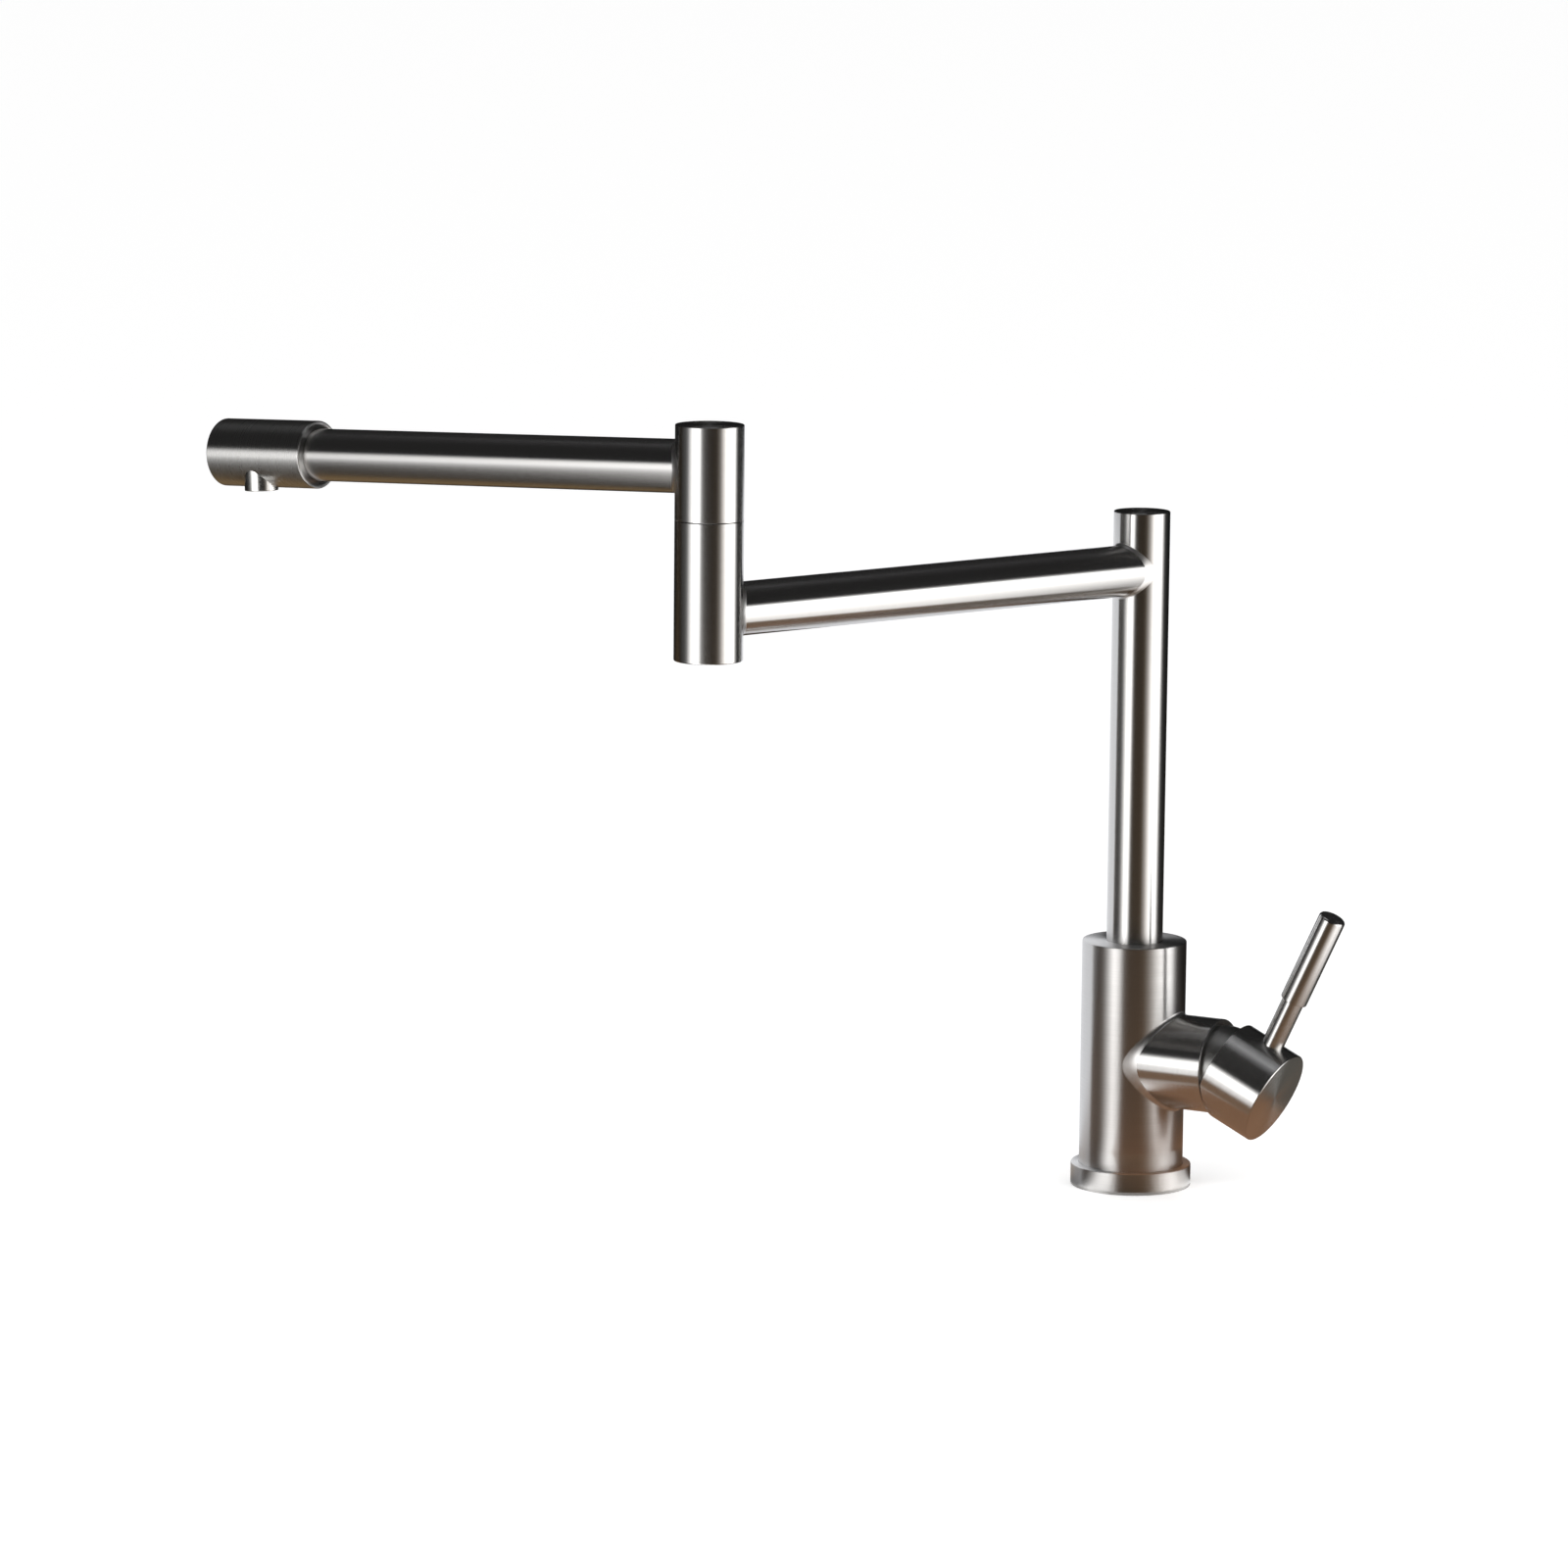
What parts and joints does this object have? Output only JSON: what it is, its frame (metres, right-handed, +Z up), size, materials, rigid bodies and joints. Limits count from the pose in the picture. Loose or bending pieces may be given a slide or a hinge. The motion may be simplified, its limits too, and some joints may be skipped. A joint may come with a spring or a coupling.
{
  "type": "kitchen faucet with folding spout",
  "caption": "Deck-mounted kitchen faucet in brushed stainless steel with a side lever, a turning riser and a spout of arms folding at a vertical elbow.",
  "frame": {"origin": "centre of the flange's underside, on the deck, at the foot of the riser's axis", "axes": "+Z up along the riser's axis, +X towards the lever along the side housing's axis, -Y towards the side that the spout hangs over in the stored pose"},
  "size_m": [0.4985, 0.3029, 0.46],
  "materials": {
    "brushed_stainless": "brushed",
    "polished_chrome": "polished",
    "plain_steel": "zinc plated, dull",
    "brass": "turned, unplated",
    "black_rubber": "matte",
    "white_plastic": "moulded",
    "grey_plastic": "moulded",
    "ceramic": "lapped"
  },
  "bodies": {
    "body": {"base_flange": "brushed_stainless", "base_gasket": "black_rubber", "fixing_plate": "plain_steel", "body_shell": "brushed_stainless", "body_cap": "brushed_stainless", "side_housing": "brushed_stainless", "housing_weld": "brushed_stainless", "manifold": "brass", "cartridge_seat": "brass", "cartridge_base": "grey_plastic", "cartridge_seals": "black_rubber", "fixed_disc": "ceramic", "cartridge_shell": "grey_plastic", "retaining_nut": "brass", "dome_ring": "brushed_stainless", "spout_grub_screw": "plain_steel", "fixing_stud": "plain_steel", "rubber_washer": "black_rubber", "clamp_plate": "plain_steel", "clamp_nut": "brass", "riser_slip_ring": "white_plastic"},
    "lower_spout": {"riser_tube": "brushed_stainless", "riser_cap": "brushed_stainless", "riser_spigot": "brass", "riser_o_rings": "black_rubber", "lower_arm_tube": "brushed_stainless", "lower_arm_welds": "brushed_stainless", "elbow_lower_sleeve": "brushed_stainless", "elbow_bottom_cap": "brushed_stainless", "elbow_socket": "brass", "elbow_washer": "grey_plastic"},
    "upper_spout": {"elbow_journal": "brass", "elbow_o_rings": "black_rubber", "elbow_circlip": "plain_steel", "elbow_upper_sleeve": "brushed_stainless", "elbow_top_cap": "brushed_stainless", "upper_arm_tube": "brushed_stainless", "upper_arm_weld": "brushed_stainless", "outlet_head": "brushed_stainless", "aerator_sleeve": "polished_chrome", "aerator_insert": "white_plastic", "aerator_seal": "black_rubber"},
    "cartridge_turner": {"cartridge_rotor": "white_plastic", "stem_pin": "plain_steel"},
    "valve_disc": {"disc_carrier": "white_plastic", "moving_disc": "ceramic"},
    "lever": {"cartridge_stem": "plain_steel", "lever_hub": "brushed_stainless", "lever_rod": "brushed_stainless", "lever_grip": "brushed_stainless", "hub_grub_screw": "plain_steel", "hub_plug": "grey_plastic"}
  },
  "joints": [
    {"name": "riser_swivel", "type": "hinge", "parent": "body", "child": "lower_spout", "pos_m": [0, 0, 0.2], "axis": [0, 0, 1], "continuous": true},
    {"name": "elbow_swivel", "type": "hinge", "parent": "lower_spout", "child": "upper_spout", "pos_m": [-0.09596, -0.25665, 0.353], "axis": [0, 0, 1], "continuous": true},
    {"name": "lever_turn", "type": "hinge", "parent": "body", "child": "cartridge_turner", "pos_m": [0.0515, 0, 0.065], "axis": [1, 0, 0], "range_deg": [-45, 45]},
    {"name": "lever_tilt", "type": "hinge", "parent": "cartridge_turner", "child": "lever", "pos_m": [0.0515, 0, 0.065], "axis": [0, 1, 0], "range_deg": [-25, 0]},
    {"name": "disc_slide", "type": "slide", "parent": "cartridge_turner", "child": "valve_disc", "axis": [0, 0, 1], "range_m": [-0.0061, 0]}
  ],
  "couplings": [
    {"joint": "disc_slide", "follows": "lever_tilt", "m_per_rad": 0.01385}
  ]
}
